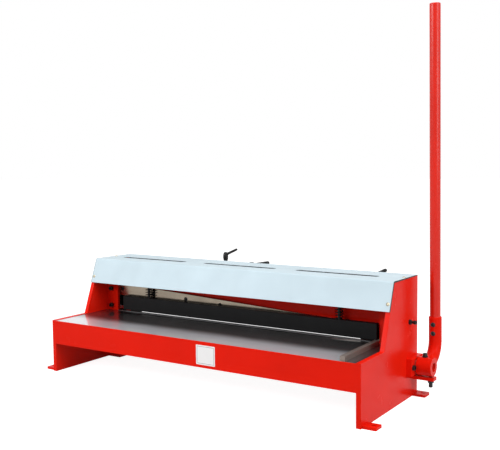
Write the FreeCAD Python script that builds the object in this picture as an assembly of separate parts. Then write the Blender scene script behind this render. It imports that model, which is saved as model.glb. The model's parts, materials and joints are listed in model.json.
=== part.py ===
import FreeCAD, Part
import math
import os

# Hand guillotine shear. Millimetres, X to the right, Y to the rear, Z up.
# While the pieces are built, Y is measured from the front edge of the side plates.
# The export moves every piece forward so that the origin lies midway between the four floor slots.

V = FreeCAD.Vector

# Frame
WIDTH = 1202.0
PLATE = 15.0
PLATE_EDGE = 0.8
DEPTH = 413.5
LEDGE_Z = 183.4
LEDGE_Y = 158.5
CORNER_Y = 229.9
CORNER_Z = 375.4
OUT = WIDTH / 2
IN = OUT - PLATE

# Floor feet
FOOT_T = 8.0
FOOT_REACH = 42.0
FOOT_W = 41.0
FOOT_EDGE = 7.0
SLOT_X = OUT + 27.0
SLOT_W = 10.0
SLOT_L = 16.0
FRONT_SLOT_Y = FOOT_EDGE + FOOT_W / 2
REAR_SLOT_Y = DEPTH - FOOT_W / 2
ORIGIN_Y = (FRONT_SLOT_Y + REAR_SLOT_Y) / 2

# Table, lower beam and lower blade
APRON_T = 3.0
APRON_Z = 99.6
TABLE_Z = 181.8
TABLE_T = 12.0
TABLE_REAR = 268.0
BEAM_T = 28.0
BEAM_Z = 100.0
CUT_Y = 280.0
LOWER_BLADE_Z = 183.6
LOWER_BLADE_H = 46.0
LOWER_BLADE_X = 534.0

# Upper blade and crosshead
BLADE_GAP = 0.1
BLADE_T = 11.9
BLADE_H = 43.0
BLADE_X = 550.0
BLADE_TOP = 255.9
RAKE = 0.051
BLADE_PITCH = 150.5
BLADE_SCREW_SHIFT = 8.0
BLADE_SCREW_DROP = 18.5
BLADE_SCREW_SINK = 8.0
HEAD_T = 26.0
HEAD_X = 555.0
HEAD_TOP = 345.0
HEAD_FRONT = CUT_Y + BLADE_GAP + BLADE_T
HEAD_REAR = HEAD_FRONT + HEAD_T
STROKE = 65.7

# Guides
GUIDE_IN = 535.0
GUIDE_T = 10.0
GUIDE_LOW = 150.0
GUIDE_TOP = 345.3
SPACER_IN = 557.0
SLIDE_GAP = 0.3
GIB_REAR = 358.0
GIB_LOW = 190.0
GUIDE_SCREW_X = 564.0
GUIDE_SCREW_Z = (200.3, 263.3, 326.3)
GIB_SCREW_Y = 346.0
GIB_SCREW_Z = 239.0
GIB_SCREW_R = 4.0

# Shaft and crank drive
SHAFT_Y = 368.0
SHAFT_Z = 101.0
SHAFT_R = 18.0
NOSE_R = 14.0
BUSH_R = 21.0
BUSH_GAP = 0.04
BLOCK_T = 19.0
BLOCK_HALF = 46.0
BLOCK_H = 54.0
BLOCK_SCREW_Y = 37.5
CRANK_R = 53.0
CRANK_REST = 37.5
CRANK_X = (516.0, 530.0)
PIN_R = 7.0
ROLLER_R = 12.0
ROLLER_X = (485.5, 512.5)
YOKE_X = (484.0, 514.0)
YOKE_Y = (294.0, 346.5)
YOKE_Z = (108.0, 164.0)
SLOT_HALF = 12.8
SLOT_LIFT = 0.59
PULL_OUT = 515.0
PULL_IN_LEFT = 468.0
PULL_IN_RIGHT = 449.0
PULL_T = 10.0
PULL_TOP = 330.0

# Lever
HUB_X = (623.5, 672.5)
HUB_R = 29.0
ARM_X = 646.0
ARM_R = 20.3
ARM_RISE = 10.5
ARM_REACH = 86.0
BEND_R = 62.0
LEAN = 1.45
SOCKET_TOP = 243.5
PIPE_R = 16.85
PIPE_WALL = 3.2
PIPE_TOP = 1212.0
HANDLE_SCREW_Z = (192.0, 220.3)
CLAMP_X = 644.6

# Brake bracket under the hub
BRACKET_X = 677.0
BRACKET_HALF = 14.0
BRACKET_Z = (60.0, 70.0)
BRAKE_X = 663.0
BRAKE_SCREW_R = 6.0

# Hold-down
BAR_X = (-497.0, 531.0)
BAR_Y = (258.0, 277.0)
BAR_Z = (190.0, 241.3)
SPRING_X = (-377.0, 401.0)
SPRING_Y = 265.5
SPRING_R = 13.0
SPRING_WIRE = 3.2
SHELF_Z = (356.0, 362.0)
ROD_R = 5.0
ROD_TOP = 372.0

# Cover
SHEET = 1.5
STRIP = 2.0
COVER_X = 599.4
COVER_LOW_Z = 292.6
COVER_FLANGE = 4.0
COVER_FOLD_R = 7.0
COVER_REAR_R = 2.5
FOLD_RISE = 1.0
REAR_DROP = 1.2
STRIP_END = 600.8
TOP_SLOTS = ((-538.0, -240.0), (-159.0, 139.0), (217.0, 515.0))
TOP_SLOT_Y = 314.0
TOP_SLOT_W = 26.0
COVER_SCREW_X = 591.0
COVER_SCREW_Y = 327.0
COVER_SCREW_Z = 314.0

# Rear tie plate and back gauge
TIE_Y = (397.0, 409.0)
TIE_Z = (200.0, CORNER_Z)
GAUGE_X = (-297.5, 338.0)
GAUGE_Z = 270.0
GAUGE_ROD_R = 10.0
GAUGE_END = 720.0
CARRIER_Y = 645.0
CARRIER_HALF = 20.0
CARRIER_TOP = (340.0, 299.0)
HANGER_REACH = 99.0
HANGER_W = 30.0
HANGER_T = 10.0
HANGER_Z = 185.0
STOP_BAR_X = 420.0
STOP_BAR_Z = (165.0, 197.0)
STOP_BAR_T = 12.0

# Return springs
RETURN_X = 436.0
RETURN_Y = 352.0
RETURN_R = 8.0
RETURN_WIRE = 3.0
RETURN_Z = (252.0, 352.0)
STUD_R = 4.0

# Clamp levers
LEVER_R = 10.4
LEVER_FOOT_R = 6.2
LEVER_TOP_R = 7.2
LEVER_H = 38.5
LEVER_ARM = 55.0
LEVER_ARM_AT = 28.5
LEVER_ARM_RISE = 24.0
SLIM_ARM_R = (5.4, 4.6)
CLUB_ARM_R = (4.6, 6.6)
LOCK_AT = (-40.5, 366.0)
LOCK_Y = TIE_Y[1] + 8.5
LOCK_TILT = 7.5
LOCK_STUD_END = 322.0

# Squaring bar and label
SQUARE_X = (534.0, 550.0)
SQUARE_Y = (6.0, 236.0)
SQUARE_H = 15.0
LABEL_X = (38.0, 110.0)
LABEL_Z = (109.0, 171.0)
LABEL_T = 0.5


def box(x0, x1, y0, y1, z0, z1):
    return Part.makeBox(x1 - x0, y1 - y0, z1 - z0, V(x0, y0, z0))


def rod_x(r, x0, x1, y, z):
    return Part.makeCylinder(r, x1 - x0, V(x0, y, z), V(1, 0, 0))


def rod_y(r, y0, y1, x, z):
    return Part.makeCylinder(r, y1 - y0, V(x, y0, z), V(0, 1, 0))


def rod_z(r, z0, z1, x, y):
    return Part.makeCylinder(r, z1 - z0, V(x, y, z0), V(0, 0, 1))


def prism(points, along):
    """Solid of a closed outline of points, pushed along a vector."""
    wire = Part.makePolygon(points + [points[0]])
    return Part.Face(wire).extrude(along)


def slab_x(outline, x0, x1):
    """Plate with an outline of (y, z) points between two X planes."""
    return prism([V(x0, y, z) for y, z in outline], V(x1 - x0, 0, 0))


def slab_y(outline, y0, y1):
    """Plate with an outline of (x, z) points between two Y planes."""
    return prism([V(x, y0, z) for x, z in outline], V(0, y1 - y0, 0))


def hexagon(across, height):
    """Hexagonal prism standing on the XY plane, across its flats."""
    corner = across / math.sqrt(3)
    angles = [math.radians(60 * i) for i in range(6)]
    return prism([V(corner * math.cos(a), corner * math.sin(a), 0) for a in angles], V(0, 0, height))


def put(shape, point, direction):
    """Moves a piece built on the Z axis so that its +Z points along a direction."""
    moved = shape.copy()
    moved.Placement = FreeCAD.Placement(V(*point), FreeCAD.Rotation(V(0, 0, 1), V(*direction)))
    return moved


def mirrored(shape):
    return shape.mirror(V(0, 0, 0), V(1, 0, 0))


def both_sides(shape):
    return [mirrored(shape), shape]


def cut(shape, tools):
    for tool in tools:
        shape = shape.cut(tool)
    return shape


def joined(shapes):
    whole = shapes[0].multiFuse(shapes[1:])
    return whole.removeSplitter()


def rounded(shape, radius, chosen):
    """Rounds the edges whose middle point passes a test."""
    edges = [e for e in shape.Edges if chosen(e)]
    return shape.makeFillet(radius, edges)


def along(edge, axis):
    """True for a straight edge that runs along a unit vector."""
    if not isinstance(edge.Curve, (Part.Line, Part.LineSegment)):
        return False
    run = edge.Vertexes[-1].Point.sub(edge.Vertexes[0].Point)
    return abs(abs(run.normalize().dot(axis)) - 1) < 1e-6


def cap_screw(r, length, head_r, head_h):
    """Socket head screw: underside of the head at Z 0, head upwards, shank downwards."""
    head = Part.makeCylinder(head_r, head_h)
    head = rounded(head, 0.08 * head_r, lambda e: e.CenterOfMass.z > head_h - 0.01)
    shank = Part.makeCylinder(r, length, V(0, 0, -length))
    socket = hexagon(0.82 * head_r * 1.2, 0.6 * head_h)
    socket.translate(V(0, 0, 0.4 * head_h))
    return joined([head, shank]).cut(socket)


def button_screw(r, length, head_r, head_h):
    """Screw with a low round head."""
    ball_r = (head_r ** 2 + head_h ** 2) / (2 * head_h)
    ball = Part.makeSphere(ball_r, V(0, 0, head_h - ball_r))
    head = ball.common(Part.makeCylinder(head_r, head_h))
    shank = Part.makeCylinder(r, length, V(0, 0, -length))
    socket = hexagon(head_r * 0.7, head_h)
    socket.translate(V(0, 0, 0.45 * head_h))
    return joined([head, shank]).cut(socket)


def hex_nut(across, height, hole_r):
    nut = hexagon(across, height).common(Part.makeCylinder(across * 0.56, height))
    return nut.cut(Part.makeCylinder(hole_r, height))


def blade_line(x):
    """Height of the raked blade's top edge at rest."""
    return BLADE_TOP - RAKE * x


def slant_y(z):
    """Y of the side plates' slanted front edge at a height."""
    return LEDGE_Y + (z - LEDGE_Z) * (CORNER_Y - LEDGE_Y) / (CORNER_Z - LEDGE_Z)


def slant_normal():
    run = V(0, CORNER_Y - LEDGE_Y, CORNER_Z - LEDGE_Z).normalize()
    return V(0, -run.z, run.y)


def cover_profile(gap):
    """Points of the cover's line, front edge to rear flange, at a distance outside the plates.

    Off the plates the top stands a little higher at the fold and lower at the rear.
    """
    out = slant_normal()
    rise, drop = (FOLD_RISE, REAR_DROP) if gap else (0, 0)
    top = CORNER_Z + gap + rise
    low = (slant_y(COVER_LOW_Z) + gap * out.y, COVER_LOW_Z + gap * out.z)
    fold = (slant_y(top - gap * out.z) + gap * out.y, top)
    rear = (DEPTH + gap, CORNER_Z + gap - drop)
    return [low, fold, rear, (DEPTH + gap, CORNER_Z - COVER_FLANGE)]


def top_line(gap, y):
    """Height of the cover's top at a distance outside the plates, at one Y."""
    _, fold, rear, _ = cover_profile(gap)
    return fold[1] + (y - fold[0]) * (rear[1] - fold[1]) / (rear[0] - fold[0])


def cover_screw_places():
    """Point on the plate's edge, outward direction and lift of the right-hand cover screws."""
    out = slant_normal()
    lift = STRIP + SHEET
    front = (COVER_SCREW_X, slant_y(COVER_SCREW_Z), COVER_SCREW_Z)
    top = (COVER_SCREW_X, COVER_SCREW_Y, CORNER_Z)
    _, fold, rear, _ = cover_profile(lift)
    up = V(0, fold[1] - rear[1], rear[0] - fold[0]).normalize()
    top_lift = (top_line(lift, COVER_SCREW_Y) - CORNER_Z) * up.z
    return [(front, tuple(out), lift), (top, tuple(up), top_lift)]


# Frame

def side_plate():
    outline = [(0, 0), (DEPTH, 0), (DEPTH, CORNER_Z), (CORNER_Y, CORNER_Z), (LEDGE_Y, LEDGE_Z), (0, LEDGE_Z)]
    plate = slab_x(outline, IN, OUT)
    rim = [e for e in plate.Edges if e.CenterOfMass.x > OUT - 0.1 and e.CenterOfMass.z > 0.1]
    plate = plate.makeChamfer(PLATE_EDGE, rim)
    holes = [rod_x(BUSH_R, IN, OUT, SHAFT_Y, SHAFT_Z)]
    for side in (-1, 1):
        holes.append(rod_x(5, OUT - 12, OUT, SHAFT_Y + side * BLOCK_SCREW_Y, SHAFT_Z))
    holes.append(rod_x(GIB_SCREW_R, IN, OUT, GIB_SCREW_Y, GIB_SCREW_Z))
    for point, out, _ in cover_screw_places():
        holes.append(put(Part.makeCylinder(2.5, 13, V(0, 0, -12)), point, out))
    return cut(plate, holes)


def foot(slot_y):
    """Outer floor foot with a slot that runs along X."""
    y0 = slot_y - FOOT_W / 2
    plate = box(OUT, OUT + FOOT_REACH, y0, y0 + FOOT_W, 0, FOOT_T)
    plate = rounded(plate, 4, lambda e: along(e, V(0, 0, 1)) and e.CenterOfMass.x > OUT + 1)
    half = (SLOT_L - SLOT_W) / 2
    slot = [box(SLOT_X - half, SLOT_X + half, slot_y - SLOT_W / 2, slot_y + SLOT_W / 2, 0, FOOT_T)]
    for side in (-1, 1):
        slot.append(rod_z(SLOT_W / 2, 0, FOOT_T, SLOT_X + side * half, slot_y))
    return plate.cut(joined(slot))


def outer_feet():
    return both_sides(foot(FRONT_SLOT_Y)) + both_sides(foot(REAR_SLOT_Y))


def inner_feet():
    return both_sides(box(530, IN, 268, 313, 0, FOOT_T))


def front_apron():
    return [box(-IN, IN, 0, APRON_T, APRON_Z, TABLE_Z)]


def squaring_screw_places():
    return [(sum(SQUARE_X) / 2, y) for y in (30, 120, 210)]


def table_plate():
    plate = box(-IN, IN, APRON_T, TABLE_REAR, TABLE_Z - TABLE_T, TABLE_Z)
    holes = [rod_z(4, TABLE_Z - TABLE_T, TABLE_Z, x, y) for x, y in squaring_screw_places()]
    return [cut(plate, holes)]


def squaring_bar():
    bar = box(*SQUARE_X, *SQUARE_Y, TABLE_Z, TABLE_Z + SQUARE_H)
    rim = [e for e in bar.Edges if along(e, V(0, 1, 0)) and e.CenterOfMass.z > TABLE_Z + 1]
    bar = bar.makeChamfer(0.6, rim)
    holes = [rod_z(4, TABLE_Z, TABLE_Z + 10, x, y) for x, y in squaring_screw_places()]
    return [cut(bar, holes)]


def squaring_bar_screws():
    screw = cap_screw(4, 22, 6.5, 8)
    return [put(screw, (x, y, TABLE_Z - TABLE_T), (0, 0, -1)) for x, y in squaring_screw_places()]


def lower_screw_places():
    z = LOWER_BLADE_Z - LOWER_BLADE_H / 2
    return [((i - 3.5) * BLADE_PITCH * 0.98, z) for i in range(8)]


def lower_beam():
    beam = box(-IN, IN, TABLE_REAR - BEAM_T, TABLE_REAR, BEAM_Z, TABLE_Z - TABLE_T)
    holes = [rod_y(5, TABLE_REAR - BEAM_T, TABLE_REAR, x, z) for x, z in lower_screw_places()]
    return [cut(beam, holes)]


def lower_blade():
    x = LOWER_BLADE_X
    blade = box(-x, x, TABLE_REAR, CUT_Y, LOWER_BLADE_Z - LOWER_BLADE_H, LOWER_BLADE_Z)
    holes = [rod_y(5, TABLE_REAR, CUT_Y - 2, px, z) for px, z in lower_screw_places()]
    return [cut(blade, holes)]


def lower_blade_screws():
    screw = cap_screw(5, BEAM_T + 9, 8, 9)
    return [put(screw, (x, TABLE_REAR - BEAM_T, z), (0, -1, 0)) for x, z in lower_screw_places()]


def front_guides():
    guide = box(GUIDE_IN, IN, CUT_Y - GUIDE_T, CUT_Y, GUIDE_LOW, GUIDE_TOP)
    holes = [rod_y(5, CUT_Y - GUIDE_T, CUT_Y, GUIDE_SCREW_X, z) for z in GUIDE_SCREW_Z]
    return both_sides(cut(guide, holes))


def guide_spacers():
    rear = HEAD_REAR + SLIDE_GAP
    spacer = box(SPACER_IN, IN, CUT_Y, rear, GIB_LOW, GUIDE_TOP)
    holes = [rod_y(5, CUT_Y, rear, GUIDE_SCREW_X, z) for z in GUIDE_SCREW_Z]
    return both_sides(cut(spacer, holes))


def rear_gibs():
    front = HEAD_REAR + SLIDE_GAP
    gib = box(GUIDE_IN, IN, front, GIB_REAR, GIB_LOW, GUIDE_TOP)
    holes = [rod_y(5, front, front + 22, GUIDE_SCREW_X, z) for z in GUIDE_SCREW_Z]
    holes.append(rod_x(GIB_SCREW_R, IN - 20, IN, GIB_SCREW_Y, GIB_SCREW_Z))
    return both_sides(cut(gib, holes))


def guide_screws():
    screw = cap_screw(5, HEAD_REAR + SLIDE_GAP + 20 - CUT_Y + GUIDE_T, 8, 10)
    front = CUT_Y - GUIDE_T
    one_side = [put(screw, (GUIDE_SCREW_X, front, z), (0, -1, 0)) for z in GUIDE_SCREW_Z]
    return [s for screw_solid in one_side for s in both_sides(screw_solid)]


def gib_adjusting_screws():
    """Screws that set the rear gibs, each with its lock nut."""
    stand_off = 15.0
    screw = cap_screw(GIB_SCREW_R, stand_off + PLATE + 18, 6.3, 8)
    screw = put(screw, (OUT + stand_off, GIB_SCREW_Y, GIB_SCREW_Z), (1, 0, 0))
    nut = put(hex_nut(14, 7, GIB_SCREW_R), (OUT, GIB_SCREW_Y, GIB_SCREW_Z), (1, 0, 0))
    return both_sides(screw) + both_sides(nut)


def travel_stops():
    """Blocks welded to the side plates above and below the crosshead's ends."""
    y0 = HEAD_FRONT + SLIDE_GAP
    y1 = HEAD_REAR + SLIDE_GAP
    low = HEAD_X - 15
    stops = both_sides(box(low, IN, y0, y1, GUIDE_TOP, GUIDE_TOP + 12))
    for side in (-1, 1):
        top = blade_line(side * (HEAD_X - 15)) - BLADE_H + 4 - STROKE - 0.6 - max(side, 0) * RAKE * 15
        x0, x1 = sorted((side * low, side * IN))
        stops.append(box(x0, x1, y0, y1, top - 20, top))
    return stops


def rear_tie_plate():
    """Plate across the rear with the holes of the gauge rods, the spring pins and the lock."""
    plate = box(-IN, IN, *TIE_Y, *TIE_Z)
    holes = [rod_y(GAUGE_ROD_R, *TIE_Y, x, GAUGE_Z) for x in GAUGE_X]
    holes.append(rod_y(5.05, *TIE_Y, *LOCK_AT))
    holes += [rod_y(STUD_R, *TIE_Y, side * RETURN_X, RETURN_Z[1]) for side in (-1, 1)]
    return [cut(plate, holes)]


def cover():
    inner = cover_profile(STRIP)
    outer = cover_profile(STRIP + SHEET)
    sheet = slab_x(outer + inner[::-1], -COVER_X, COVER_X)
    sheet = rounded(sheet, COVER_FOLD_R, lambda e: on_fold(e, outer[1]))
    sheet = rounded(sheet, COVER_FOLD_R - SHEET, lambda e: on_fold(e, inner[1]))
    sheet = rounded(sheet, COVER_REAR_R, lambda e: on_fold(e, outer[2]))
    sheet = rounded(sheet, COVER_REAR_R - SHEET, lambda e: on_fold(e, inner[2]))
    tools = []
    for x0, x1 in TOP_SLOTS:
        half = TOP_SLOT_W / 2
        slot = [box(x0 + half, x1 - half, TOP_SLOT_Y - half, TOP_SLOT_Y + half, CORNER_Z, CORNER_Z + 9)]
        slot += [rod_z(half, CORNER_Z, CORNER_Z + 9, x, TOP_SLOT_Y) for x in (x0 + half, x1 - half)]
        tools.append(joined(slot))
    for point, out, _ in cover_screw_places():
        tools += both_sides(put(Part.makeCylinder(2.5, 6), point, out))
    return [cut(sheet, tools)]


def on_fold(edge, corner):
    """True for an edge that runs along X through a (y, z) corner of the cover's line."""
    middle = edge.CenterOfMass
    near = abs(middle.y - corner[0]) < 0.01 and abs(middle.z - corner[1]) < 0.01
    return near and along(edge, V(1, 0, 0))


def edge_band(gap, x0, x1, fold_r):
    """Band on a plate's slanted and top edge, up to a distance outside the plate."""
    edge = cover_profile(0)[:2] + [(DEPTH, CORNER_Z)]
    lifted = cover_profile(gap)[:2] + [(DEPTH, top_line(gap, DEPTH))]
    band = slab_x(edge + lifted[::-1], x0, x1)
    return rounded(band, fold_r, lambda e: on_fold(e, lifted[1]))


def cover_strips():
    """Sealing strips under the cover, each with a lip that closes the end of the sheet."""
    seat = edge_band(STRIP, IN + 1, STRIP_END, COVER_FOLD_R - SHEET)
    lip = edge_band(STRIP + SHEET, COVER_X + 0.1, STRIP_END, COVER_FOLD_R)
    hole = Part.makeCylinder(2.5, 6, V(0, 0, -1))
    holes = [put(hole, point, out) for point, out, _ in cover_screw_places()]
    return both_sides(cut(joined([seat, lip]), holes))


def cover_screws():
    solids = []
    for point, out, lift in cover_screw_places():
        seat = tuple(p + lift * o for p, o in zip(point, out))
        solids += both_sides(put(button_screw(2.5, lift + 10, 5.8, 3.0), seat, out))
    return solids


def label_plate():
    plate = box(*LABEL_X, -LABEL_T, 0, *LABEL_Z)
    return [rounded(plate, 2, lambda e: along(e, V(0, 1, 0)))]


# Bearings

def bearing_blocks():
    y0 = SHAFT_Y - BLOCK_HALF
    z0 = SHAFT_Z - BLOCK_H / 2
    block = box(OUT, OUT + BLOCK_T, y0, y0 + 2 * BLOCK_HALF, z0, z0 + BLOCK_H)
    block = block.makeChamfer(1.5, [e for e in block.Edges if e.CenterOfMass.x > OUT + BLOCK_T - 0.1])
    holes = [rod_x(BUSH_R, OUT, OUT + BLOCK_T, SHAFT_Y, SHAFT_Z)]
    for side in (-1, 1):
        holes.append(rod_x(5, OUT, OUT + BLOCK_T, SHAFT_Y + side * BLOCK_SCREW_Y, SHAFT_Z))
    return both_sides(cut(block, holes))


def shaft_bushes():
    bush = rod_x(BUSH_R, IN, OUT + BLOCK_T, SHAFT_Y, SHAFT_Z)
    return both_sides(bush.cut(rod_x(SHAFT_R + BUSH_GAP, IN, OUT + BLOCK_T, SHAFT_Y, SHAFT_Z)))


def bearing_screws():
    """Screws of the bearing blocks; the rear ones have low heads that clear the lever's arm."""
    solids = []
    for side, head_h in ((-1, 8.0), (1, 5.2)):
        place = (OUT + BLOCK_T, SHAFT_Y + side * BLOCK_SCREW_Y, SHAFT_Z)
        solids += both_sides(put(cap_screw(5, BLOCK_T + 11, 8, head_h), place, (1, 0, 0)))
    return solids


def brake_bracket():
    plate = box(OUT, BRACKET_X, SHAFT_Y - BRACKET_HALF, SHAFT_Y + BRACKET_HALF, *BRACKET_Z)
    plate = rounded(plate, 2, lambda e: along(e, V(0, 0, 1)) and e.CenterOfMass.x > OUT + 1)
    return [plate.cut(rod_z(BRAKE_SCREW_R, *BRACKET_Z, BRAKE_X, SHAFT_Y))]


def brake_screw():
    """Friction screw with its lock nut: its tip stands just under the hub."""
    low = 38.0
    tip = SHAFT_Z - HUB_R - 0.3
    stud = rod_z(BRAKE_SCREW_R, low, tip, BRAKE_X, SHAFT_Y)
    stud = stud.makeChamfer(0.8, [e for e in stud.Edges if e.CenterOfMass.z < low + 0.1])
    nut = put(hex_nut(18, 7, BRAKE_SCREW_R), (BRAKE_X, SHAFT_Y, BRACKET_Z[0] - 7), (0, 0, 1))
    return [stud, nut]


# Lever

def crank_direction():
    a = math.radians(CRANK_REST)
    return V(0, -math.cos(a), math.sin(a))


def crank_pin_centre():
    return V(0, SHAFT_Y, SHAFT_Z).add(crank_direction().multiply(CRANK_R))


def main_shaft():
    nose_end = 656.0
    shaft = [rod_x(SHAFT_R, -OUT - BLOCK_T, OUT + BLOCK_T, SHAFT_Y, SHAFT_Z)]
    shaft.append(rod_x(NOSE_R, OUT + BLOCK_T, nose_end, SHAFT_Y, SHAFT_Z))
    tapped = rod_x(5, -OUT - BLOCK_T, -OUT - BLOCK_T + 26, SHAFT_Y, SHAFT_Z)
    return [cut(joined(shaft), [tapped, key_solid()])]


def key_solid():
    return box(628, 654, SHAFT_Y - 4, SHAFT_Y + 4, SHAFT_Z + NOSE_R - 4, SHAFT_Z + NOSE_R + 3.3)


def hub_key():
    return [key_solid()]


def tapered_link(centre_a, r_a, centre_b, r_b):
    """Outline of two circles of different size and their two outer tangents, as a face in a YZ plane."""
    run = centre_b.sub(centre_a)
    reach = run.Length
    heading = math.atan2(run.z, run.y)
    spread = math.acos((r_a - r_b) / reach)

    def at(centre, r, angle):
        return centre.add(V(0, r * math.cos(angle), r * math.sin(angle)))

    a_up = at(centre_a, r_a, heading + spread)
    a_back = at(centre_a, r_a, heading + math.pi)
    a_down = at(centre_a, r_a, heading - spread)
    b_up = at(centre_b, r_b, heading + spread)
    b_tip = at(centre_b, r_b, heading)
    b_down = at(centre_b, r_b, heading - spread)
    edges = [Part.Arc(a_up, a_back, a_down).toShape(), Part.makeLine(a_down, b_down)]
    edges += [Part.Arc(b_down, b_tip, b_up).toShape(), Part.makeLine(b_up, a_up)]
    return Part.Face(Part.Wire(edges))


def crank_arms():
    x0, x1 = CRANK_X
    shaft_centre = V(x0, SHAFT_Y, SHAFT_Z)
    pin_centre = crank_pin_centre().add(V(x0, 0, 0))
    arm = tapered_link(shaft_centre, 32, pin_centre, 15).extrude(V(x1 - x0, 0, 0))
    holes = [rod_x(SHAFT_R, x0, x1, SHAFT_Y, SHAFT_Z), rod_x(PIN_R, x0, x1, pin_centre.y, pin_centre.z)]
    return both_sides(cut(arm, holes))


def crank_pins():
    pin = crank_pin_centre()
    solids = [rod_x(PIN_R, 480, CRANK_X[1], pin.y, pin.z), rod_x(10, 481, 483, pin.y, pin.z)]
    return both_sides(joined(solids))


def roller():
    pin = crank_pin_centre()
    ring = rod_x(ROLLER_R, *ROLLER_X, pin.y, pin.z)
    return ring.cut(rod_x(PIN_R + 0.06, *ROLLER_X, pin.y, pin.z))


def shaft_spacer_ring():
    x0 = OUT + BLOCK_T + 0.3
    ring = rod_x(20, x0, HUB_X[0], SHAFT_Y, SHAFT_Z)
    return [ring.cut(rod_x(NOSE_R, x0, HUB_X[0], SHAFT_Y, SHAFT_Z))]


def shaft_end_screw():
    """Washer and screw that hold the shaft's left end, clear of the bearing block."""
    x1 = -OUT - BLOCK_T
    washer = rod_x(20, x1 - 4, x1, SHAFT_Y, SHAFT_Z)
    relief = rod_x(21, x1 - 0.4, x1, SHAFT_Y, SHAFT_Z).cut(rod_x(SHAFT_R, x1 - 0.4, x1, SHAFT_Y, SHAFT_Z))
    washer = cut(washer, [relief, rod_x(5, x1 - 4, x1, SHAFT_Y, SHAFT_Z)])
    return [washer, put(cap_screw(5, 26, 8, 9), (x1 - 4, SHAFT_Y, SHAFT_Z), (-1, 0, 0))]


def lever_hub():
    hub = rod_x(HUB_R, *HUB_X, SHAFT_Y, SHAFT_Z)
    hub = hub.makeChamfer(1.2, [e for e in hub.Edges if isinstance(e.Curve, Part.Circle)])
    tools = [rod_x(NOSE_R, *HUB_X, SHAFT_Y, SHAFT_Z), key_solid()]
    tools.append(rod_z(5, SHAFT_Z, SHAFT_Z + HUB_R, CLAMP_X, SHAFT_Y))
    return [cut(hub, tools)]


def hub_clamp_screw():
    """Screw that holds the key down, with its lock nut on top of the hub."""
    top = SHAFT_Z + HUB_R + 4
    length = top - (SHAFT_Z + NOSE_R + 3.3)
    screw = put(cap_screw(5, length, 7, 8), (CLAMP_X, SHAFT_Y, top), (0, 0, 1))
    return [screw, put(hex_nut(16, 3.5, 5), (CLAMP_X, SHAFT_Y, SHAFT_Z + HUB_R), (0, 0, 1))]


def arm_line():
    """Corner of the arm's centre line and the directions of its two straight runs."""
    rise = math.radians(ARM_RISE)
    lean = math.radians(LEAN)
    out = V(0, math.cos(rise), math.sin(rise))
    up = V(0, -math.sin(lean), math.cos(lean))
    corner = V(ARM_X, SHAFT_Y, SHAFT_Z).add(V(out).multiply(ARM_REACH))
    return corner, out, up


def arm_point(z):
    """Point on the upper run's centre line at a height."""
    corner, _, up = arm_line()
    return corner.add(V(up).multiply((z - corner.z) / up.z))


def handle_screw_direction():
    """Outward direction of the handle screws: to the front and square to the handle."""
    lean = math.radians(LEAN)
    return V(0, -math.cos(lean), -math.sin(lean))


def handle_screw_hole(z):
    out = handle_screw_direction()
    start = arm_point(z).add(V(out).multiply(ARM_R - 8))
    return Part.makeCylinder(4, 12, start, out)


def lever_arm():
    corner, out, up = arm_line()
    turn = math.acos(out.dot(up))
    tangent = BEND_R * math.tan(turn / 2)
    start = V(ARM_X, SHAFT_Y, SHAFT_Z).add(V(out).multiply(20))
    bend_start = corner.sub(V(out).multiply(tangent))
    bend_end = corner.add(V(up).multiply(tangent))
    centre = bend_start.add(V(0, -out.z, out.y).multiply(BEND_R))
    disc = Part.Face(Part.Wire(Part.makeCircle(ARM_R, bend_start, out)))
    bend = disc.revolve(centre, V(1, 0, 0), math.degrees(turn))
    lower = Part.makeCylinder(ARM_R, bend_start.sub(start).Length, start, out)
    top = arm_point(SOCKET_TOP)
    upper = Part.makeCylinder(ARM_R, top.sub(bend_end).Length, bend_end, up)
    bore = Part.makeCylinder(PIPE_R, top.sub(bend_end).Length - 6, top, V(up).multiply(-1))
    holes = [bore, rod_x(HUB_R, HUB_X[0] - 1, HUB_X[1] + 1, SHAFT_Y, SHAFT_Z)]
    holes += [handle_screw_hole(z) for z in HANDLE_SCREW_Z]
    arm = cut(joined([lower, bend, upper]), holes)
    rim = [e for e in arm.Edges if isinstance(e.Curve, Part.Circle) and abs(e.Curve.Radius - ARM_R) < 1e-3
           and e.CenterOfMass.z > SOCKET_TOP - 1]
    return [arm.makeChamfer(1.5, rim)]


def handle_pipe():
    _, _, up = arm_line()
    bottom = arm_point(178)
    top = arm_point(PIPE_TOP)
    length = top.sub(bottom).Length
    pipe = Part.makeCylinder(PIPE_R, length, bottom, up)
    rim = [e for e in pipe.Edges if isinstance(e.Curve, Part.Circle) and e.CenterOfMass.z > PIPE_TOP - 1]
    pipe = pipe.makeFillet(2.5, rim)
    bore = Part.makeCylinder(PIPE_R - PIPE_WALL, length - 4, bottom, up)
    return [cut(pipe, [bore] + [handle_screw_hole(z) for z in HANDLE_SCREW_Z])]


def handle_screws():
    screw = button_screw(4, 7, 7.6, 4.4)
    out = handle_screw_direction()
    solids = []
    for z in HANDLE_SCREW_Z:
        seat = arm_point(z).add(V(out).multiply(ARM_R))
        solids.append(put(screw, tuple(seat), tuple(out)))
    return solids


# Crosshead

def blade_screw_places():
    places = [(i - 3.5) * BLADE_PITCH + BLADE_SCREW_SHIFT for i in range(8)]
    return [(x, blade_line(x) - BLADE_SCREW_DROP) for x in places]


def pull_plate_spans():
    return [(-PULL_OUT, -PULL_IN_LEFT), (PULL_IN_RIGHT, PULL_OUT)]


def pull_screw_places():
    columns = [x for x0, x1 in pull_plate_spans() for x in (x0 + 13, x1 - 13)]
    return [(x, z) for x in columns for z in (286.0, 316.0)]


def bracket_screw_places():
    return [(x + dx, 331.0) for x in SPRING_X for dx in (-20, 20)]


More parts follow.
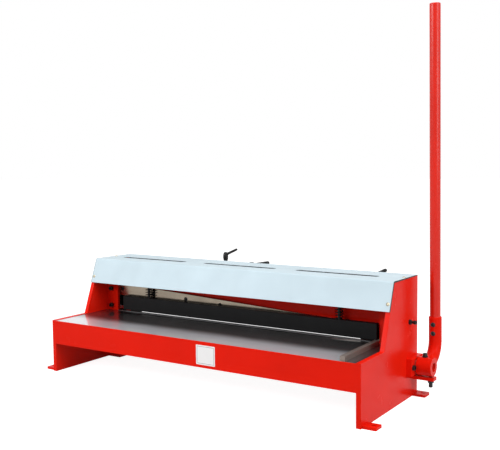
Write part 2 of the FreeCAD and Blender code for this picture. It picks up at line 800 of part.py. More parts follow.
def crosshead():
    x = HEAD_X
    low = BLADE_H - 4
    outline = [(-x, blade_line(-x) - low), (x, blade_line(x) - low), (x, HEAD_TOP), (-x, HEAD_TOP)]
    head = slab_y(outline, HEAD_FRONT, HEAD_REAR)
    holes = [rod_y(5, HEAD_FRONT, HEAD_FRONT + 18, px, z) for px, z in blade_screw_places()]
    holes += [rod_y(4, HEAD_REAR - 16, HEAD_REAR, px, z) for px, z in pull_screw_places()]
    holes += [rod_y(3, HEAD_FRONT, HEAD_FRONT + 14, px, z) for px, z in bracket_screw_places()]
    holes += [rod_y(STUD_R, HEAD_REAR - 12, HEAD_REAR, side * RETURN_X, RETURN_Z[0]) for side in (-1, 1)]
    return [cut(head, holes)]


def upper_blade():
    x = BLADE_X
    y0 = CUT_Y + BLADE_GAP
    top = [(x, blade_line(x)), (-x, blade_line(-x))]
    outline = [(px, z - BLADE_H) for px, z in top[::-1]] + top
    blade = slab_y(outline, y0, HEAD_FRONT)
    holes = []
    for px, z in blade_screw_places():
        holes.append(rod_y(5, y0, HEAD_FRONT, px, z))
        holes.append(rod_y(8.0, y0, y0 + BLADE_SCREW_SINK, px, z))
    return [cut(blade, holes)]


def upper_blade_screws():
    seat = CUT_Y + BLADE_GAP + BLADE_SCREW_SINK
    screw = cap_screw(5, HEAD_FRONT - seat + 16, 7.4, 5.5)
    return [put(screw, (x, seat, z), (0, -1, 0)) for x, z in blade_screw_places()]


def pull_down_plates():
    plates = [box(*span, HEAD_REAR, HEAD_REAR + PULL_T, YOKE_Z[1], PULL_TOP) for span in pull_plate_spans()]
    holes = [rod_y(4, HEAD_REAR, HEAD_REAR + PULL_T, x, z) for x, z in pull_screw_places()]
    return [cut(plate, holes) for plate in plates]


def crosshead_screws():
    """Screws of the pull-down plates and of the spring brackets."""
    screw = cap_screw(4, PULL_T + 14, 6.5, 8)
    solids = [put(screw, (x, HEAD_REAR + PULL_T, z), (0, 1, 0)) for x, z in pull_screw_places()]
    screw = cap_screw(3, 20, 5, 6)
    return solids + [put(screw, (x, HEAD_FRONT - 8, z), (0, -1, 0)) for x, z in bracket_screw_places()]


def yoke_blocks():
    """Blocks with a slot along Y in which the crank rollers run."""
    block = box(*YOKE_X, *YOKE_Y, *YOKE_Z)
    middle = crank_pin_centre().z + SLOT_LIFT
    y0 = SHAFT_Y - CRANK_R - ROLLER_R - 2.5
    y1 = crank_pin_centre().y + ROLLER_R + 2.5
    slot = box(*YOKE_X, y0, y1, middle - SLOT_HALF, middle + SLOT_HALF)
    return both_sides(block.cut(slot))


def spring_brackets():
    """Angle brackets on the crosshead: a shelf that the hold-down springs press against."""
    solids = []
    for x in SPRING_X:
        back = box(x - 32, x + 32, HEAD_FRONT - 8, HEAD_FRONT, 316, SHELF_Z[1])
        shelf = box(x - 32, x + 32, 246, HEAD_FRONT - 8, *SHELF_Z)
        rib = [(HEAD_FRONT - 8, 330), (HEAD_FRONT - 8, SHELF_Z[0]), (252, SHELF_Z[0])]
        ribs = [slab_x(rib, x0, x0 + 5) for x0 in (x - 32, x + 27)]
        holes = [rod_z(ROD_R + 0.5, *SHELF_Z, x, SPRING_Y)]
        holes += [rod_y(3, HEAD_FRONT - 8, HEAD_FRONT, px, z) for px, z in bracket_screw_places()]
        solids.append(cut(joined([back, shelf] + ribs), holes))
    return solids


def spring_pin(y_root, y_free):
    """Plain stud with a collar at each side of the spring hook."""
    start, end = sorted((y_root, y_free))
    pin = [rod_y(STUD_R, start, end, RETURN_X, 0)]
    for offset in (-7, 4):
        pin.append(rod_y(STUD_R + 2, RETURN_Y + offset, RETURN_Y + offset + 3, RETURN_X, 0))
    return joined(pin)


def upper_spring_pins():
    pin = spring_pin(TIE_Y[1], RETURN_Y - 8)
    pin.translate(V(0, 0, RETURN_Z[1]))
    return both_sides(pin)


def lower_spring_pins():
    pin = spring_pin(HEAD_REAR - 12, RETURN_Y + 8)
    pin.translate(V(0, 0, RETURN_Z[0]))
    return both_sides(pin)


def spring_sleeve(r, wire, z0, z1, x, y):
    """Envelope of a coil spring: its outer and inner diameter over its length."""
    return rod_z(r, z0, z1, x, y).cut(rod_z(r - wire, z0, z1, x, y))


def return_springs():
    z0 = RETURN_Z[0] + STUD_R + 2.5
    z1 = RETURN_Z[1] - STUD_R - 2.5
    return both_sides(spring_sleeve(RETURN_R, RETURN_WIRE, z0, z1, RETURN_X, RETURN_Y))


# Hold-down

def hold_down_bar():
    bar = box(*BAR_X, *BAR_Y, *BAR_Z)
    bar = bar.makeChamfer(1, [e for e in bar.Edges if along(e, V(1, 0, 0))])
    return [cut(bar, [rod_z(ROD_R, BAR_Z[1] - 22, BAR_Z[1], x, SPRING_Y) for x in SPRING_X])]


def hold_down_rods():
    """Rods screwed into the bar, with the nuts that hang them on the brackets' shelves."""
    rods = [rod_z(ROD_R, BAR_Z[1] - 22, ROD_TOP, x, SPRING_Y) for x in SPRING_X]
    nut = hex_nut(16, 6, ROD_R)
    return rods + [put(nut, (x, SPRING_Y, SHELF_Z[1] + 0.2), (0, 0, 1)) for x in SPRING_X]


def hold_down_springs():
    z1 = SHELF_Z[0] - 0.2
    return [spring_sleeve(SPRING_R, SPRING_WIRE, BAR_Z[1], z1, x, SPRING_Y) for x in SPRING_X]


# Back gauge

def gauge_rods():
    """Rods with threaded roots, each with its two nuts on the tie plate."""
    solids = []
    for x in GAUGE_X:
        rod = rod_y(GAUGE_ROD_R, TIE_Y[0] - 12, GAUGE_END, x, GAUGE_Z)
        solids.append(rod.makeChamfer(1, [e for e in rod.Edges if isinstance(e.Curve, Part.Circle)]))
    nut = hex_nut(30, 11, GAUGE_ROD_R)
    starts = (TIE_Y[0] - 11, TIE_Y[1])
    return solids + [put(nut, (x, y, GAUGE_Z), (0, 1, 0)) for x in GAUGE_X for y in starts]


def gauge_carrier(x, top):
    """Split block that slides on a gauge rod, with the clamp lever's seat on top."""
    c = CARRIER_HALF
    block = box(x - c, x + c, CARRIER_Y - c, CARRIER_Y + c, GAUGE_Z - c, GAUGE_Z + c)
    boss = rod_z(11, GAUGE_Z + c, top - 0.3, x, CARRIER_Y)
    slit = box(x + 8, x + c, CARRIER_Y - c, CARRIER_Y + c, GAUGE_Z - 1, GAUGE_Z + 1)
    holes = [rod_y(GAUGE_ROD_R + 0.05, CARRIER_Y - c, CARRIER_Y + c, x, GAUGE_Z), slit]
    holes.append(rod_z(5.05, GAUGE_Z + GAUGE_ROD_R, top, x, CARRIER_Y))
    return cut(joined([block, boss]), holes)


def gauge_carriers():
    return [gauge_carrier(x, top) for x, top in zip(GAUGE_X, CARRIER_TOP)]


def stop_bar_hangers():
    """Flat bars from the carriers down and forward under the tie plate to the stop bar."""
    solids = []
    rear_y = CARRIER_Y + CARRIER_HALF
    front_y = CARRIER_Y - HANGER_REACH
    for x in GAUGE_X:
        side = HANGER_W / 2
        drop = box(x - side, x + side, rear_y - HANGER_T, rear_y, HANGER_Z, GAUGE_Z - CARRIER_HALF)
        arm = box(x - side, x + side, front_y, rear_y, HANGER_Z, HANGER_Z + HANGER_T)
        tab = box(x - side, x + side, front_y, front_y + HANGER_T, STOP_BAR_Z[0], HANGER_Z)
        solids.append(joined([drop, arm, tab]))
    return solids


def gauge_stop_bar():
    front_y = CARRIER_Y - HANGER_REACH
    return [box(-STOP_BAR_X, STOP_BAR_X, front_y - STOP_BAR_T, front_y, *STOP_BAR_Z)]


# Clamp levers

def clamp_lever(stud_length, arm_r):
    """Clamp lever on the Z axis: barrel-shaped hub, arm towards +X and up, stud downwards."""
    shoulder = V(LEVER_TOP_R, 0, LEVER_H - 2.5)
    side = Part.Arc(V(LEVER_FOOT_R, 0, 0), V(LEVER_R, 0, LEVER_H * 0.54), shoulder).toShape()
    crown = Part.Arc(shoulder, V(4.4, 0, LEVER_H - 0.6), V(0, 0, LEVER_H)).toShape()
    axis = Part.makeLine(V(0, 0, LEVER_H), V(0, 0, 0))
    foot_edge = Part.makeLine(V(0, 0, 0), V(LEVER_FOOT_R, 0, 0))
    hub = Part.Face(Part.Wire([side, crown, axis, foot_edge])).revolve(V(0, 0, 0), V(0, 0, 1), 360)
    hub.rotate(V(0, 0, 0), V(0, 0, 1), 180)
    rise = math.radians(LEVER_ARM_RISE)
    run = V(math.cos(rise), 0, math.sin(rise))
    start = V(2, 0, LEVER_ARM_AT)
    arm = Part.makeCone(*arm_r, LEVER_ARM, start, run)
    tip = Part.makeSphere(arm_r[1], start.add(V(run).multiply(LEVER_ARM)))
    stud = Part.makeCylinder(5, stud_length, V(0, 0, -stud_length))
    return joined([hub, arm, tip, stud])


def left_clamp_lever():
    return [put(clamp_lever(58, SLIM_ARM_R), (GAUGE_X[0], CARRIER_Y, CARRIER_TOP[0]), (0, 0, 1))]


def right_clamp_lever():
    return [put(clamp_lever(17, CLUB_ARM_R), (GAUGE_X[1], CARRIER_Y, CARRIER_TOP[1]), (0, 0, 1))]


def lock_lever():
    """Lever that locks the crosshead: axis along Y, arm nearly level behind the cover."""
    lever = clamp_lever(LOCK_Y - LOCK_STUD_END, CLUB_ARM_R)
    turn = FreeCAD.Rotation(V(1, 0, 0), -90)
    tilt = FreeCAD.Rotation(V(0, 1, 0), -LOCK_TILT)
    lever.Placement = FreeCAD.Placement(V(LOCK_AT[0], LOCK_Y, LOCK_AT[1]), tilt.multiply(turn))
    return [lever]


NODES = {
    "left_side_plate": lambda: [mirrored(side_plate())],
    "right_side_plate": lambda: [side_plate()],
    "outer_feet": outer_feet,
    "inner_feet": inner_feet,
    "front_apron": front_apron,
    "table_plate": table_plate,
    "squaring_bar": squaring_bar,
    "squaring_bar_screws": squaring_bar_screws,
    "lower_beam": lower_beam,
    "lower_blade": lower_blade,
    "lower_blade_screws": lower_blade_screws,
    "front_guides": front_guides,
    "guide_spacers": guide_spacers,
    "rear_gibs": rear_gibs,
    "guide_screws": guide_screws,
    "gib_adjusting_screws": gib_adjusting_screws,
    "travel_stops": travel_stops,
    "rear_tie_plate": rear_tie_plate,
    "cover": cover,
    "cover_strips": cover_strips,
    "cover_screws": cover_screws,
    "label_plate": label_plate,
    "bearing_blocks": bearing_blocks,
    "shaft_bushes": shaft_bushes,
    "bearing_screws": bearing_screws,
    "brake_bracket": brake_bracket,
    "brake_screw": brake_screw,
    "gauge_rods": gauge_rods,
    "upper_spring_pins": upper_spring_pins,
    "main_shaft": main_shaft,
    "hub_key": hub_key,
    "crank_arms": crank_arms,
    "crank_pins": crank_pins,
    "shaft_spacer_ring": shaft_spacer_ring,
    "shaft_end_screw": shaft_end_screw,
    "lever_hub": lever_hub,
    "hub_clamp_screw": hub_clamp_screw,
    "lever_arm": lever_arm,
    "handle_pipe": handle_pipe,
    "handle_screws": handle_screws,
    "left_roller": lambda: [mirrored(roller())],
    "right_roller": lambda: [roller()],
    "crosshead": crosshead,
    "upper_blade": upper_blade,
    "upper_blade_screws": upper_blade_screws,
    "pull_down_plates": pull_down_plates,
    "crosshead_screws": crosshead_screws,
    "yoke_blocks": yoke_blocks,
    "spring_brackets": spring_brackets,
    "lower_spring_pins": lower_spring_pins,
    "return_springs": return_springs,
    "hold_down_bar": hold_down_bar,
    "hold_down_rods": hold_down_rods,
    "hold_down_springs": hold_down_springs,
    "gauge_carriers": gauge_carriers,
    "stop_bar_hangers": stop_bar_hangers,
    "gauge_stop_bar": gauge_stop_bar,
    "left_clamp_lever": left_clamp_lever,
    "right_clamp_lever": right_clamp_lever,
    "lock_lever": lock_lever,
}


def export(name, solids):
    shape = Part.makeCompound(solids) if len(solids) > 1 else solids[0].copy()
    shape.translate(V(0, -ORIGIN_Y, 0))
    shape.exportStep("parts/" + name + ".step")


os.makedirs("parts", exist_ok=True)
for node, build in NODES.items():
    export(node, build())
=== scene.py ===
import json
import math

import bpy
from mathutils import Matrix, Vector


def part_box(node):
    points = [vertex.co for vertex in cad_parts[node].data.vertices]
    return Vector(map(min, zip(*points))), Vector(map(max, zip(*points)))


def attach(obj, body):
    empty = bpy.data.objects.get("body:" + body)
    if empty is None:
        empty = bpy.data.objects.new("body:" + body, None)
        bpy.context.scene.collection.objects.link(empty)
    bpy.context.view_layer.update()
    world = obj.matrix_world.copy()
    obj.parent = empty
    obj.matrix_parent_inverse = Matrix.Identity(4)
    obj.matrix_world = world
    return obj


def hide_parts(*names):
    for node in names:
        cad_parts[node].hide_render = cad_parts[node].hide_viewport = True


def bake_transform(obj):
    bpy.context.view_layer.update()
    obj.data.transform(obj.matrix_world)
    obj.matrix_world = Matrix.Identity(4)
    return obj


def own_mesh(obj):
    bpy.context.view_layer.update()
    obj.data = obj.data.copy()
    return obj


# Hand guillotine shear: its finishes, its coil springs, the studio and the camera.

# The camera stands to the right in front of the shear, a little above the cover.
CAMERA_PLACE = Vector((1.51827, -2.15282, 0.73201))
CAMERA_YAW = 0.58065
CAMERA_PITCH = 0.07774
CAMERA_ROLL = -0.00971
CAMERA_LENS = 57.135

RED = (0.80, 0.013, 0.004)
# A darker copy of the red enamel: painted shade on the handle pipe.
SHADED_HANDLE_RED = (0.67, 0.016, 0.006)
PALE = (0.53, 0.645, 0.705)
# The table's two steel colours are painted light: the bright one a painted highlight at the front, the dark
# one painted shade under the cover.
TABLE_STEEL_PAINTED_HIGHLIGHT = (0.66, 0.67, 0.70)
TABLE_STEEL_PAINTED_SHADE = (0.075, 0.075, 0.077)
BLADE_STEEL = (0.19, 0.16, 0.125)
BAR_AND_INNER_SHADE_BLACK = (0.008, 0.008, 0.0085)
SCREW_BLACK = (0.010, 0.009, 0.009)
WORN_STEEL = (0.19, 0.16, 0.14)
YELLOW_ZINC = (0.44, 0.40, 0.30)
TURNED_STEEL = (0.60, 0.60, 0.61)
BRONZE = (0.58, 0.38, 0.17)
GRIP_BLACK = (0.006, 0.006, 0.0065)
LABEL_WHITE = (0.88, 0.88, 0.88)
LABEL_GREY = (0.3, 0.3, 0.31)
# Black of the strip under the cover's edges: the strip carries the cover, and its black also paints the shade
# in the seam between cover and side plates.
STRIP_AND_SEAM_SHADE_BLACK = (0.02, 0.02, 0.02)
FLOOR_GREY = (0.5, 0.5, 0.5)

# Sizes of the patterns on the surfaces, in repeats per metre.
PAINT_CLOUDS = 6.0
PAINT_SMEARS = 22.0
METAL_STAINS = 9.0
OIL_STREAKS = 3.0
BAND_WAVES = 5.0
GROOVES = 2500

# How far the grooves' sides lean from the level table, as a slope.
GROOVE_SLOPE = 0.1

# Most of the noise lies between these two values.
NOISE_LOW = 0.3
NOISE_HIGH = 0.7

# The table's band of painted highlight, with painted shade behind it, in metres: its front and rear along Y,
# the fade at its end along X.
BAND_FRONT = -0.13
BAND_REAR = -0.06
BAND_WAVER = 0.02
BAND_END_FADE = 0.01

LABEL_LINE_INSET = 0.0045
LABEL_LINE_HALF_WIDTH = 0.0006

HOLD_DOWN_WIRE = 0.0032
HOLD_DOWN_TURNS = 13
RETURN_WIRE = 0.003
RETURN_TURNS = 25
SPRING_SIDES = 10
SPRING_STEPS = 28

SMOOTH_ANGLE = 35

ROOM_LIGHT = 0.3
FLOOR_SIZE = 60
FLOOR_GLOW_NEAR = 0.9
FLOOR_FADE_NEAR = 0.8
FLOOR_FADE_FAR = 2.4


# Materials

def new_material(name):
    material = bpy.data.materials.new(name)
    material.use_nodes = True
    return material, material.node_tree.nodes, material.node_tree.links


def object_pattern(nodes, links, scale, stretch=(1, 1, 1), detail=3.0):
    """Noise on object coordinates, stretched along the axes."""
    place = nodes.new("ShaderNodeTexCoord")
    mapping = nodes.new("ShaderNodeMapping")
    mapping.inputs["Scale"].default_value = stretch
    noise = nodes.new("ShaderNodeTexNoise")
    noise.inputs["Scale"].default_value = scale
    noise.inputs["Detail"].default_value = detail
    links.new(place.outputs["Object"], mapping.inputs["Vector"])
    links.new(mapping.outputs["Vector"], noise.inputs["Vector"])
    return noise.outputs["Fac"]


def ranged(nodes, links, value, low, high):
    """The noise spread from low to high."""
    spread = nodes.new("ShaderNodeMapRange")
    spread.inputs["From Min"].default_value = NOISE_LOW
    spread.inputs["From Max"].default_value = NOISE_HIGH
    spread.inputs["To Min"].default_value = low
    spread.inputs["To Max"].default_value = high
    links.new(value, spread.inputs["Value"])
    return spread.outputs["Result"]


def tinted(nodes, links, value, dark, light):
    """A colour between dark and light, chosen by the noise."""
    mix = nodes.new("ShaderNodeMix")
    mix.data_type = "RGBA"
    mix.inputs["A"].default_value = (*dark, 1)
    mix.inputs["B"].default_value = (*light, 1)
    links.new(ranged(nodes, links, value, 0, 1), mix.inputs["Factor"])
    return mix.outputs["Result"]


def shaded(colour, amount):
    return tuple(min(1.0, c * amount) for c in colour)


def bumped(nodes, links, height, strength, distance):
    bump = nodes.new("ShaderNodeBump")
    bump.inputs["Strength"].default_value = strength
    bump.inputs["Distance"].default_value = distance
    links.new(height, bump.inputs["Height"])
    return bump


def painted(name, colour, roughness, peel_size, peel, gloss=0.5):
    """Paint film: slow shifts of colour and gloss, and a fine orange peel."""
    material, nodes, links = new_material(name)
    shader = nodes["Principled BSDF"]
    cloud = object_pattern(nodes, links, PAINT_CLOUDS)
    tint = tinted(nodes, links, cloud, shaded(colour, 0.94), shaded(colour, 1.05))
    links.new(tint, shader.inputs["Base Color"])
    smear = object_pattern(nodes, links, PAINT_SMEARS)
    links.new(ranged(nodes, links, smear, roughness - 0.05, roughness + 0.06), shader.inputs["Roughness"])
    grain = object_pattern(nodes, links, 1.0 / peel_size, detail=2.0)
    bump = bumped(nodes, links, grain, peel, peel_size * 0.1)
    links.new(bump.outputs["Normal"], shader.inputs["Normal"])
    shader.inputs["Specular IOR Level"].default_value = gloss
    return material


def metal(name, colour, roughness, scratch_scale, stretch, scratch, spread=0.1, metallic=1.0):
    """Bare metal with stains and tool marks; stretch packs the marks close along an axis."""
    material, nodes, links = new_material(name)
    shader = nodes["Principled BSDF"]
    shader.inputs["Metallic"].default_value = metallic
    stain = object_pattern(nodes, links, METAL_STAINS)
    tint = tinted(nodes, links, stain, shaded(colour, 0.86), shaded(colour, 1.1))
    links.new(tint, shader.inputs["Base Color"])
    marks = object_pattern(nodes, links, scratch_scale, stretch, 4.0)
    links.new(ranged(nodes, links, marks, roughness - spread, roughness + spread), shader.inputs["Roughness"])
    bump = bumped(nodes, links, marks, scratch, 0.0002)
    links.new(bump.outputs["Normal"], shader.inputs["Normal"])
    return material


def ground_table(name, bright, dark, band_end):
    """Ground steel under a film of oil, with painted light in its colour: a bright band of painted highlight
    at the front, painted shade behind it and past band_end.
    """
    material, nodes, links = new_material(name)
    shader = nodes["Principled BSDF"]
    shader.inputs["Metallic"].default_value = 1.0
    shader.inputs["Coat Weight"].default_value = 1.0
    shader.inputs["Coat Roughness"].default_value = 0.06
    mix = nodes.new("ShaderNodeMix")
    mix.data_type = "RGBA"
    mix.inputs["A"].default_value = (*bright, 1)
    mix.inputs["B"].default_value = (*dark, 1)
    links.new(off_painted_highlight_band(nodes, links, band_end), mix.inputs["Factor"])
    links.new(mix.outputs["Result"], shader.inputs["Base Color"])
    film = object_pattern(nodes, links, OIL_STREAKS, (1, 2.5, 1))
    links.new(ranged(nodes, links, film, 0.42, 0.48), shader.inputs["Roughness"])
    links.new(groove_normal(nodes, links), shader.inputs["Normal"])
    return material


def off_painted_highlight_band(nodes, links, band_end):
    """Zero on the band of painted highlight, one on the painted shade behind it and past its right end; its
    rear edge wavers a little.
    """
    place = nodes.new("ShaderNodeTexCoord")
    split = nodes.new("ShaderNodeSeparateXYZ")
    links.new(place.outputs["Object"], split.inputs["Vector"])
    waver = nodes.new("ShaderNodeMath")
    waver.operation = "MULTIPLY_ADD"
    waver.inputs[1].default_value = BAND_WAVER
    links.new(object_pattern(nodes, links, BAND_WAVES), waver.inputs[0])
    links.new(split.outputs["Y"], waver.inputs[2])
    spread = nodes.new("ShaderNodeMapRange")
    spread.interpolation_type = "SMOOTHSTEP"
    spread.inputs["From Min"].default_value = BAND_FRONT
    spread.inputs["From Max"].default_value = BAND_REAR
    links.new(waver.outputs["Value"], spread.inputs["Value"])
    past_end = nodes.new("ShaderNodeMapRange")
    past_end.inputs["From Min"].default_value = band_end
    past_end.inputs["From Max"].default_value = band_end + BAND_END_FADE
    links.new(split.outputs["X"], past_end.inputs["Value"])
    either = nodes.new("ShaderNodeMath")
    either.operation = "MAXIMUM"
    links.new(spread.outputs["Result"], either.inputs[0])
    links.new(past_end.outputs["Result"], either.inputs[1])
    return either.outputs[0]


def groove_normal(nodes, links):
    """Surface normals that lean to the front and the rear across grooves along X."""
    grooves = object_pattern(nodes, links, GROOVES, (0.02, 1, 1), 2.0)
    lean = nodes.new("ShaderNodeCombineXYZ")
    links.new(ranged(nodes, links, grooves, -GROOVE_SLOPE, GROOVE_SLOPE), lean.inputs["Y"])
    surface = nodes.new("ShaderNodeNewGeometry")
    leaning = nodes.new("ShaderNodeVectorMath")
    leaning.operation = "ADD"
    links.new(surface.outputs["Normal"], leaning.inputs[0])
    links.new(lean.outputs["Vector"], leaning.inputs[1])
    unit = nodes.new("ShaderNodeVectorMath")
    unit.operation = "NORMALIZE"
    links.new(leaning.outputs["Vector"], unit.inputs[0])
    return unit.outputs["Vector"]


def label_material(name, corner, size):
    """Plain white label with a thin grey line inside its edge."""
    material, nodes, links = new_material(name)
    shader = nodes["Principled BSDF"]
    shader.inputs["Roughness"].default_value = 0.35
    place = nodes.new("ShaderNodeTexCoord")
    mapping = nodes.new("ShaderNodeMapping")
    mapping.inputs["Location"].default_value = (-corner[0] - size[0] / 2, 0, -corner[1] - size[1] / 2)
    split = nodes.new("ShaderNodeSeparateXYZ")
    links.new(place.outputs["Object"], mapping.inputs["Vector"])
    links.new(mapping.outputs["Vector"], split.inputs["Vector"])
    lines = []
    for axis, half in (("X", size[0] / 2), ("Z", size[1] / 2)):
        far = nodes.new("ShaderNodeMath")
        far.operation = "ABSOLUTE"
        links.new(split.outputs[axis], far.inputs[0])
        inset = nodes.new("ShaderNodeMath")
        inset.operation = "SUBTRACT"
        inset.inputs[0].default_value = half
        links.new(far.outputs[0], inset.inputs[1])
        lines.append(inset.outputs[0])
    nearest = nodes.new("ShaderNodeMath")
    nearest.operation = "MINIMUM"
    links.new(lines[0], nearest.inputs[0])
    links.new(lines[1], nearest.inputs[1])
    ring = nodes.new("ShaderNodeMath")
    ring.operation = "COMPARE"
    ring.inputs[1].default_value = LABEL_LINE_INSET
    ring.inputs[2].default_value = LABEL_LINE_HALF_WIDTH
    links.new(nearest.outputs[0], ring.inputs[0])
    mix = nodes.new("ShaderNodeMix")
    mix.data_type = "RGBA"
    mix.inputs["A"].default_value = (*LABEL_WHITE, 1)
    mix.inputs["B"].default_value = (*LABEL_GREY, 1)
    links.new(ring.outputs[0], mix.inputs["Factor"])
    links.new(mix.outputs["Result"], shader.inputs["Base Color"])
    return material


def finishes():
    low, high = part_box("label_plate")
    squaring_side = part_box("squaring_bar")[0].x
    return {
        "red_paint": painted("red enamel", RED, 0.22, 0.0022, 0.08, gloss=0.04),
        "pale_paint": painted("pale powder coat", PALE, 0.42, 0.0016, 0.18, gloss=0.2),
        # The table's colour holds a painted highlight at the front and painted shade behind it.
        "ground_steel": ground_table("ground table steel", TABLE_STEEL_PAINTED_HIGHLIGHT, TABLE_STEEL_PAINTED_SHADE, squaring_side),
        "blade_steel": metal("ground blade steel", BLADE_STEEL, 0.18, 6.0, (1, 1, 70), 0.1, spread=0.05),
        # The hold-down bar's own black; on the parts of this slot deep inside the shear, such as the rear tie
        # plate and the travel stops, the black is painted shade.
        "black_paint": painted("black bar and inner shade paint", BAR_AND_INNER_SHADE_BLACK, 0.5, 0.002, 0.15, gloss=0.1),
        "black_oxide": painted("blackened steel", SCREW_BLACK, 0.4, 0.0012, 0.15, gloss=0.3),
        "zinc": metal("yellow zinc", YELLOW_ZINC, 0.35, 90.0, (1, 1, 1), 0.15),
        "bright_steel": metal("turned steel", TURNED_STEEL, 0.3, 30.0, (1, 1, 1), 0.05, spread=0.05),
        "bronze": metal("machined bronze", BRONZE, 0.32, 20.0, (20, 1, 1), 0.12),
        "black_plastic": painted("moulded black grip", GRIP_BLACK, 0.5, 0.0014, 0.3, gloss=0.3),
        "label_white": label_material("white label", (low.x, low.z), (high.x - low.x, high.z - low.z)),
        # The strip's black is partly its own colour and partly painted shade in the seam under the cover.
        "black_rubber": painted("sealing strip and seam shade", STRIP_AND_SEAM_SHADE_BLACK, 0.7, 0.0012, 0.3),
    }


def dress_nodes(materials):
    """Gives every solid the material of its slot, or its own finish where it has one."""
    slots = {part["node"]: part["material_slot"] for part in frame["record"]["subparts"]}
    own = {
        "squaring_bar": metal("worn flat bar", WORN_STEEL, 0.45, 40.0, (12, 1, 12), 0.2, metallic=0.7),
        # The handle pipe gets a darker copy of the red enamel as painted shade.
        "handle_pipe": painted("shaded red handle enamel", SHADED_HANDLE_RED, 0.24, 0.0022, 0.08, gloss=0.27),
    }
    for name, piece in frame["nodes"].items():
        piece.data.materials.clear()
        piece.data.materials.append(own.get(name, materials[slots[name]]))
        smooth(piece)


def deselect():
    bpy.ops.object.select_all(action="DESELECT")


def smooth(piece):
    deselect()
    piece.select_set(True)
    bpy.context.view_layer.objects.active = piece
    bpy.ops.object.shade_smooth_by_angle(angle=math.radians(SMOOTH_ANGLE))


# Springs

def coil_spring(name, coil_r, wire, turns, low, high):
    """Wire coil between two points on a vertical line, wound one wire too long and cut flat at both ends."""
    deselect()
    wire_r = wire / 2
    bpy.ops.mesh.primitive_circle_add(vertices=SPRING_SIDES, radius=wire_r, location=(coil_r - wire_r, 0, 0),
                                      rotation=(math.pi / 2, 0, 0))
    spring = bpy.context.object
    spring.name = name
    bpy.ops.object.transform_apply(location=True, rotation=True, scale=True)
    coil = spring.modifiers.new("coil", "SCREW")
    coil.angle = 2 * math.pi * turns
    coil.screw_offset = high.z - low.z + 2 * wire_r
    coil.steps = int(SPRING_STEPS * turns)
    coil.render_steps = coil.steps
    bpy.ops.object.modifier_apply(modifier="coil")
    spring.location = (low.x, low.y, low.z - wire_r)
    bpy.ops.object.transform_apply(location=True, rotation=True, scale=True)
    bpy.ops.object.mode_set(mode="EDIT")
    bpy.ops.mesh.select_all(action="SELECT")
    bpy.ops.mesh.bisect(plane_co=low, plane_no=(0, 0, -1), use_fill=True, clear_outer=True)
    bpy.ops.mesh.select_all(action="SELECT")
    bpy.ops.mesh.bisect(plane_co=high, plane_no=(0, 0, 1), use_fill=True, clear_outer=True)
    bpy.ops.mesh.select_all(action="SELECT")
    bpy.ops.mesh.normals_make_consistent(inside=False)
    bpy.ops.object.mode_set(mode="OBJECT")
    smooth(spring)
    return spring


def split_box(node):
    """Boxes of the left and the right half of a node that has one piece at each side."""
    low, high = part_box(node)
    points = [v.co for v in frame["nodes"][node].data.vertices]
    middle = (low.x + high.x) / 2
    halves = []
    for side in (-1, 1):
        own = [p for p in points if (p.x - middle) * side > 0]
        corner = Vector(min(p[i] for p in own) for i in range(3))
        far_corner = Vector(max(p[i] for p in own) for i in range(3))
        halves.append((corner, far_corner))
    return halves


def spring_ends(low, high):
    """Lower and upper end of a box's upright middle line."""
    foot = Vector(((low.x + high.x) / 2, (low.y + high.y) / 2, low.z))
    return foot, Vector((foot.x, foot.y, high.z))


def make_springs(wire_steel):
    for side, (low, high) in zip(("left", "right"), split_box("hold_down_springs")):
        foot, top = spring_ends(low, high)
        coil_r = (high.x - low.x) / 2
        spring = coil_spring(side + "_hold_down_spring", coil_r, HOLD_DOWN_WIRE, HOLD_DOWN_TURNS, foot, top)
        spring.data.materials.append(wire_steel)
        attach(spring, "hold_down")
        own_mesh(spring)
        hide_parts("hold_down_springs")
    for side, (low, high) in zip(("left", "right"), split_box("return_springs")):
        foot, top = spring_ends(low, high)
        coil_r = (high.x - low.x) / 2
        spring = coil_spring(side + "_return_spring", coil_r, RETURN_WIRE, RETURN_TURNS, foot, top)
        spring.data.materials.append(wire_steel)
        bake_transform(spring)
        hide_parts("return_springs")


# Studio

def camera():
    ahead = Vector((-math.sin(CAMERA_YAW) * math.cos(CAMERA_PITCH),
                    math.cos(CAMERA_YAW) * math.cos(CAMERA_PITCH),
                    -math.sin(CAMERA_PITCH)))
    right = Vector((math.cos(CAMERA_YAW), math.sin(CAMERA_YAW), 0))
    up = right.cross(ahead)
    side = right * math.cos(CAMERA_ROLL) + up * math.sin(CAMERA_ROLL)
    top = up * math.cos(CAMERA_ROLL) - right * math.sin(CAMERA_ROLL)
    data = bpy.data.cameras.new("camera")
    data.lens = CAMERA_LENS
    data.sensor_width = 36
    data.sensor_fit = "HORIZONTAL"
    data.clip_end = 50
    holder = bpy.data.objects.new("camera", data)
    bpy.context.scene.collection.objects.link(holder)
    turn = Matrix((side, top, -ahead)).transposed().to_4x4()
    holder.matrix_world = Matrix.Translation(CAMERA_PLACE) @ turn
    bpy.context.scene.camera = holder


def soft_lamp(name, place, target, width, height, power):
    data = bpy.data.lights.new(name, "AREA")
    data.shape = "RECTANGLE"
    data.size = width
    data.size_y = height
    data.energy = power
    lamp = bpy.data.objects.new(name, data)
    bpy.context.scene.collection.objects.link(lamp)
    lamp.location = place
    lamp.rotation_euler = (Vector(target) - Vector(place)).to_track_quat("-Z", "Y").to_euler()


def seen_or_mirrored(nodes, links):
    """One for rays from the camera, off a shiny surface or through a clear one."""
    rays = nodes.new("ShaderNodeLightPath")
    total = rays.outputs["Is Camera Ray"]
    for kind in ("Is Glossy Ray", "Is Transmission Ray"):
        either = nodes.new("ShaderNodeMath")
        either.operation = "MAXIMUM"
        links.new(total, either.inputs[0])
        links.new(rays.outputs[kind], either.inputs[1])
        total = either.outputs[0]
    return total


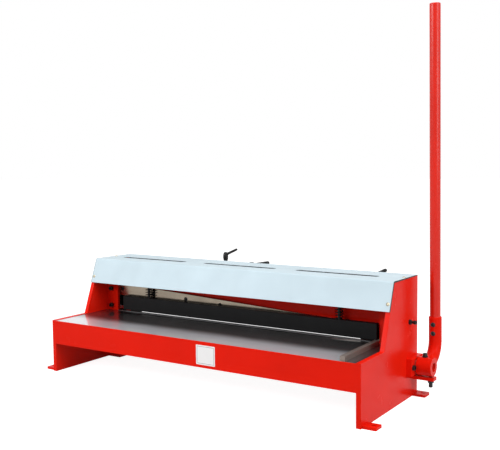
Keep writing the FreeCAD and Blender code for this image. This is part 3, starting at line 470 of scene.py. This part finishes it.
def studio_light():
    """Soft boxes and an even grey room that looks plain white to the camera and in shiny surfaces."""
    soft_lamp("overhead softbox", (0.5, -0.6, 3.2), (0.1, 0.1, 0.2), width=3.4, height=2.8, power=71)
    soft_lamp("front softbox", (-2.1, -3.0, 1.95), (0, 0, 0.3), width=3.0, height=0.7, power=78)
    soft_lamp("side softbox", (3.6, -0.6, 1.6), (0, 0.1, 0.3), width=2.0, height=2.0, power=58)
    world = bpy.data.worlds.new("room")
    bpy.context.scene.world = world
    world.use_nodes = True
    nodes, links = world.node_tree.nodes, world.node_tree.links
    room = nodes["Background"]
    room.inputs["Color"].default_value = (1, 1, 1, 1)
    room.inputs["Strength"].default_value = ROOM_LIGHT
    backdrop = nodes.new("ShaderNodeBackground")
    backdrop.inputs["Color"].default_value = (1, 1, 1, 1)
    mix = nodes.new("ShaderNodeMixShader")
    links.new(seen_or_mirrored(nodes, links), mix.inputs["Fac"])
    links.new(room.outputs["Background"], mix.inputs[1])
    links.new(backdrop.outputs["Background"], mix.inputs[2])
    links.new(mix.outputs["Shader"], nodes["World Output"].inputs["Surface"])


def floor():
    """Pale floor that keeps the shear's shadow and turns plain white away from it."""
    deselect()
    bpy.ops.mesh.primitive_plane_add(size=FLOOR_SIZE)
    plane = bpy.context.object
    plane.name = "studio_floor"
    material, nodes, links = new_material("pale floor")
    shader = nodes["Principled BSDF"]
    shader.inputs["Base Color"].default_value = (*FLOOR_GREY, 1)
    shader.inputs["Roughness"].default_value = 0.9
    shader.inputs["Specular IOR Level"].default_value = 0.0
    shader.inputs["Emission Color"].default_value = (1, 1, 1, 1)
    place = nodes.new("ShaderNodeTexCoord")
    away = nodes.new("ShaderNodeVectorMath")
    away.operation = "LENGTH"
    links.new(place.outputs["Object"], away.inputs[0])
    fade = nodes.new("ShaderNodeMapRange")
    fade.inputs["From Min"].default_value = FLOOR_FADE_NEAR
    fade.inputs["From Max"].default_value = FLOOR_FADE_FAR
    fade.inputs["To Min"].default_value = FLOOR_GLOW_NEAR
    fade.inputs["To Max"].default_value = 1.0
    links.new(away.outputs["Value"], fade.inputs["Value"])
    lift = nodes.new("ShaderNodeMath")
    lift.operation = "MULTIPLY"
    links.new(seen_or_mirrored(nodes, links), lift.inputs[0])
    links.new(fade.outputs["Result"], lift.inputs[1])
    links.new(lift.outputs[0], shader.inputs["Emission Strength"])
    plane.data.materials.append(material)


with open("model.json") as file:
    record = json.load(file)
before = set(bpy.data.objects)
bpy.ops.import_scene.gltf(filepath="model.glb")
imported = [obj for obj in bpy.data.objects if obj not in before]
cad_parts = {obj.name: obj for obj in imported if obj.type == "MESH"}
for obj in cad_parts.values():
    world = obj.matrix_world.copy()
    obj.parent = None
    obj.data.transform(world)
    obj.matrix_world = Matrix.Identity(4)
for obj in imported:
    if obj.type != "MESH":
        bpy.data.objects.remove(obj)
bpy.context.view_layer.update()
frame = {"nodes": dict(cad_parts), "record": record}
materials = finishes()
dress_nodes(materials)
wire_steel = painted("spring wire", SCREW_BLACK, 0.5, 0.001, 0.1, gloss=0.1)
make_springs(wire_steel)
floor()
studio_light()
camera()
scene = bpy.context.scene
scene.view_settings.view_transform = "Standard"
